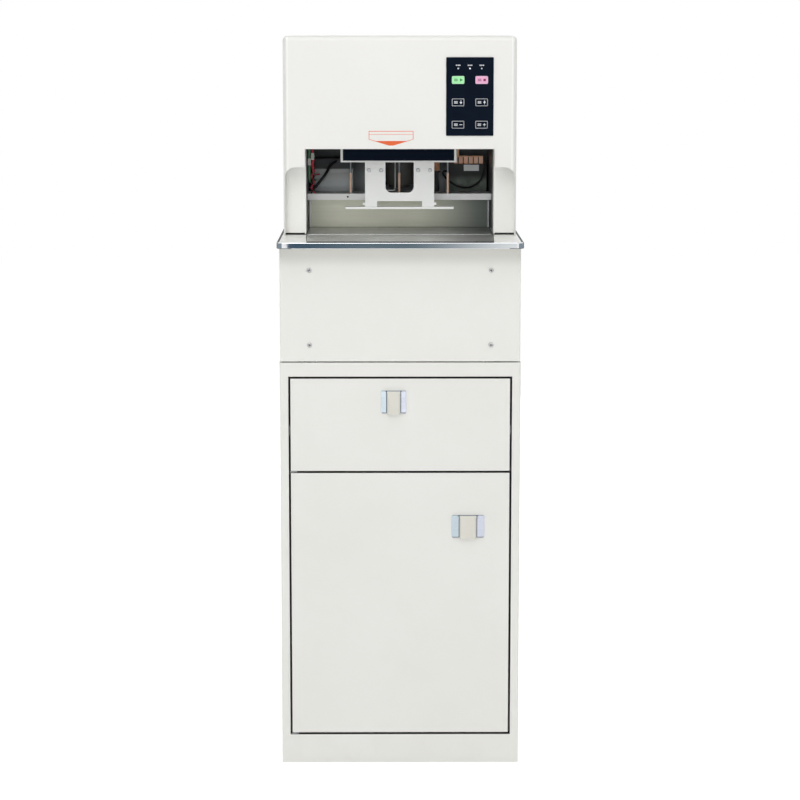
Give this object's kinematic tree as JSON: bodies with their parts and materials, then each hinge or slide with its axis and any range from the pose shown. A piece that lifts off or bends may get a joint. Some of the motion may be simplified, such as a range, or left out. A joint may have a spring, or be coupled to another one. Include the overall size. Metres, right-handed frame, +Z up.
{
  "type": "thread binding machine",
  "caption": "Floor-standing paper thread binding machine: hooded drilling head with a presser over a trimmed table, on a steel cabinet with a drawer and a door.",
  "frame": {"origin": "middle of the machine's box, on the floor", "axes": "+X to the operator's right, -Y towards the operator, +Z up"},
  "size_m": [0.404, 0.49, 1.22],
  "materials": {
    "white_paint": "satin powder coat",
    "bright_steel": "ground",
    "chrome": "polished",
    "worn_steel": "worn, brushed",
    "bare_aluminium": "milled",
    "presser_paint": "satin",
    "beige_plastic": "satin",
    "rubber": "matt",
    "black_plastic": "satin",
    "motor_paint": "satin",
    "grey_paint": "satin",
    "navy_film": "semi gloss film",
    "green_key": "semi gloss film",
    "pink_key": "semi gloss film",
    "lamp": "clear",
    "red_plastic": "gloss",
    "thread": "wound cotton",
    "wire_plastic": "insulation"
  },
  "bodies": {
    "machine": {"cabinet_plinth": "white_paint", "cabinet_shell": "white_paint", "cabinet_top": "white_paint", "drawer_deck": "white_paint", "body_cover": "white_paint", "body_back": "white_paint", "table_slab": "white_paint", "hood": "white_paint", "hood_back": "white_paint", "cheek_covers": "white_paint", "drawer_rails": "bright_steel", "door_hinges": "bright_steel", "lower_frame": "bright_steel", "body_base": "bright_steel", "cover_screws": "bright_steel", "head_frame": "bright_steel", "roof_plate": "bright_steel", "guide_rods": "bright_steel", "thread_finger": "bright_steel", "table_trim": "chrome", "work_plate": "worn_steel", "paper_fence": "worn_steel", "guide_beam": "bare_aluminium", "body_feet": "rubber", "door_catch": "black_plastic", "power_inlet": "black_plastic", "control_box": "black_plastic", "lift_gearmotor": "motor_paint", "power_supply": "grey_paint", "sign_plate": "navy_film", "keypad_panel": "navy_film", "indicator_lamps": "lamp", "thread_cone": "thread", "wiring": "wire_plastic"},
    "drawer": {"drawer_front": "white_paint", "drawer_tray": "white_paint", "drawer_latch_plate": "chrome"},
    "drawer_paddle": {"drawer_paddle": "beige_plastic"},
    "door": {"door_panel": "white_paint", "door_latch_plate": "chrome"},
    "door_paddle": {"door_paddle": "beige_plastic"},
    "presser": {"presser_plate": "presser_paint", "presser_foot": "presser_paint", "presser_block": "bright_steel"},
    "carriage": {"carriage": "bright_steel", "drill_motor": "motor_paint", "drill_belt": "rubber"},
    "spindle_left": {"spindle_left": "bright_steel"},
    "spindle_middle": {"spindle_middle": "bright_steel"},
    "spindle_right": {"spindle_right": "bright_steel"},
    "motor_pulley": {"motor_pulley": "bright_steel"},
    "lift_pinion": {"lift_pinion": "bright_steel"},
    "power_switch": {"power_switch": "red_plastic"},
    "key_start": {"key_start": "green_key"},
    "key_stop": {"key_stop": "pink_key"},
    "key_press": {"key_press": "navy_film"},
    "key_lift": {"key_lift": "navy_film"},
    "key_less": {"key_less": "navy_film"},
    "key_more": {"key_more": "navy_film"}
  },
  "joints": [
    {"name": "drawer_slide", "type": "slide", "parent": "machine", "child": "drawer", "axis": [0, -1, 0], "range_m": [0, 0.3]},
    {"name": "drawer_paddle_lift", "type": "hinge", "parent": "drawer", "child": "drawer_paddle", "pos_m": [-0.0109, -0.2099, 0.6348], "axis": [-1, 0, 0], "range_deg": [0, 35], "stiffness_Nm_per_rad": 0.06},
    {"name": "door_swing", "type": "hinge", "parent": "machine", "child": "door", "pos_m": [-0.178, -0.2002, 0.2761], "axis": [0, 0, -1], "range_deg": [0, 105]},
    {"name": "door_paddle_lift", "type": "hinge", "parent": "door", "child": "door_paddle", "pos_m": [0.1133, -0.2099, 0.4243], "axis": [-1, 0, 0], "range_deg": [0, 35], "stiffness_Nm_per_rad": 0.06},
    {"name": "presser_slide", "type": "slide", "parent": "machine", "child": "presser", "axis": [0, 0, 1], "range_m": [-0.0395, 0]},
    {"name": "carriage_slide", "type": "slide", "parent": "machine", "child": "carriage", "axis": [0, 0, 1], "range_m": [-0.055, 0]},
    {"name": "pinion_turn", "type": "hinge", "parent": "machine", "child": "lift_pinion", "pos_m": [0, 0.20988, 1.045], "axis": [1, 0, 0], "range_deg": [0, 215]},
    {"name": "spindle_middle_spin", "type": "hinge", "parent": "carriage", "child": "spindle_middle", "pos_m": [0, 0.07, 1.047], "axis": [0, 0, 1], "continuous": true},
    {"name": "spindle_left_spin", "type": "hinge", "parent": "carriage", "child": "spindle_left", "pos_m": [-0.085, 0.07, 1.047], "axis": [0, 0, 1], "continuous": true},
    {"name": "spindle_right_spin", "type": "hinge", "parent": "carriage", "child": "spindle_right", "pos_m": [0.085, 0.07, 1.047], "axis": [0, 0, 1], "continuous": true},
    {"name": "motor_pulley_spin", "type": "hinge", "parent": "carriage", "child": "motor_pulley", "pos_m": [0, 0.156, 1.047], "axis": [0, 0, 1], "continuous": true},
    {"name": "power_switch_rock", "type": "hinge", "parent": "machine", "child": "power_switch", "pos_m": [0.08, 0.239, 0.735], "axis": [1, 0, 0], "range_deg": [0, 18]},
    {"name": "key_start_push", "type": "slide", "parent": "machine", "child": "key_start", "axis": [0, 1, 0], "range_m": [0, 0.0005], "stiffness_N_per_m": 600},
    {"name": "key_stop_push", "type": "slide", "parent": "machine", "child": "key_stop", "axis": [0, 1, 0], "range_m": [0, 0.0005], "stiffness_N_per_m": 600},
    {"name": "key_press_push", "type": "slide", "parent": "machine", "child": "key_press", "axis": [0, 1, 0], "range_m": [0, 0.0005], "stiffness_N_per_m": 600},
    {"name": "key_lift_push", "type": "slide", "parent": "machine", "child": "key_lift", "axis": [0, 1, 0], "range_m": [0, 0.0005], "stiffness_N_per_m": 600},
    {"name": "key_less_push", "type": "slide", "parent": "machine", "child": "key_less", "axis": [0, 1, 0], "range_m": [0, 0.0005], "stiffness_N_per_m": 600},
    {"name": "key_more_push", "type": "slide", "parent": "machine", "child": "key_more", "axis": [0, 1, 0], "range_m": [0, 0.0005], "stiffness_N_per_m": 600}
  ],
  "couplings": [
    {"joint": "pinion_turn", "follows": "carriage_slide", "rad_per_m": -66.667},
    {"joint": "spindle_left_spin", "follows": "spindle_middle_spin", "ratio": 1},
    {"joint": "spindle_right_spin", "follows": "spindle_middle_spin", "ratio": 1},
    {"joint": "motor_pulley_spin", "follows": "spindle_middle_spin", "ratio": 1}
  ]
}
